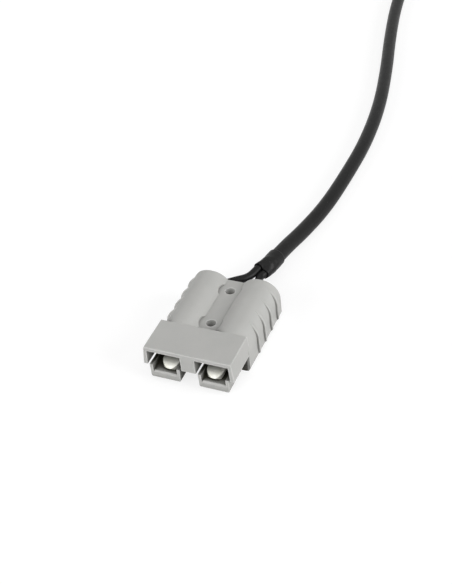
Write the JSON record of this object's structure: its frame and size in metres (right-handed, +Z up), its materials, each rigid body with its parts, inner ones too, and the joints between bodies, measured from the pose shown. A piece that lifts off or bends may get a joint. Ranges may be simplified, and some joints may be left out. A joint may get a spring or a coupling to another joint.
{
  "type": "adapter cable",
  "caption": "Short low-voltage adapter lead: flat genderless power connector with finger grips and flat wiping contacts, round flexible cable and round barrel plug.",
  "frame": {"origin": "under the middle of the connector housing, on the surface that the lead lies on", "axes": "-Y out of the connector's mating face, +Y towards the cable, +Z up through the flat hood plate"},
  "size_m": [0.0378, 0.4411, 0.0159],
  "materials": {
    "housing_plastic": "light warm grey moulded plastic, finely textured",
    "contact_metal": "silver plating, satin, brighter on the nose",
    "spring_steel": "plain spring steel",
    "conductor_copper": "bare stranded copper",
    "core_insulation": "smooth black insulation",
    "sleeve_plastic": "black shrink sleeve, slightly wrinkled",
    "cable_jacket": "black flexible jacket, fine matt grain",
    "plug_rubber": "black moulded grip, matt",
    "plug_metal": "nickel plating",
    "plug_insulator": "black plastic bush"
  },
  "bodies": {
    "root": {"housing": "housing_plastic", "contact_left": "contact_metal", "contact_right": "contact_metal", "contact_spring_left": "spring_steel", "contact_spring_right": "spring_steel", "conductor_left": "conductor_copper", "conductor_right": "conductor_copper", "core_left": "core_insulation", "core_right": "core_insulation", "sleeve": "sleeve_plastic", "cable": "cable_jacket", "plug_grip": "plug_rubber", "plug_barrel": "plug_metal", "plug_insulator": "plug_insulator", "plug_pin": "plug_metal"}
  },
  "joints": []
}
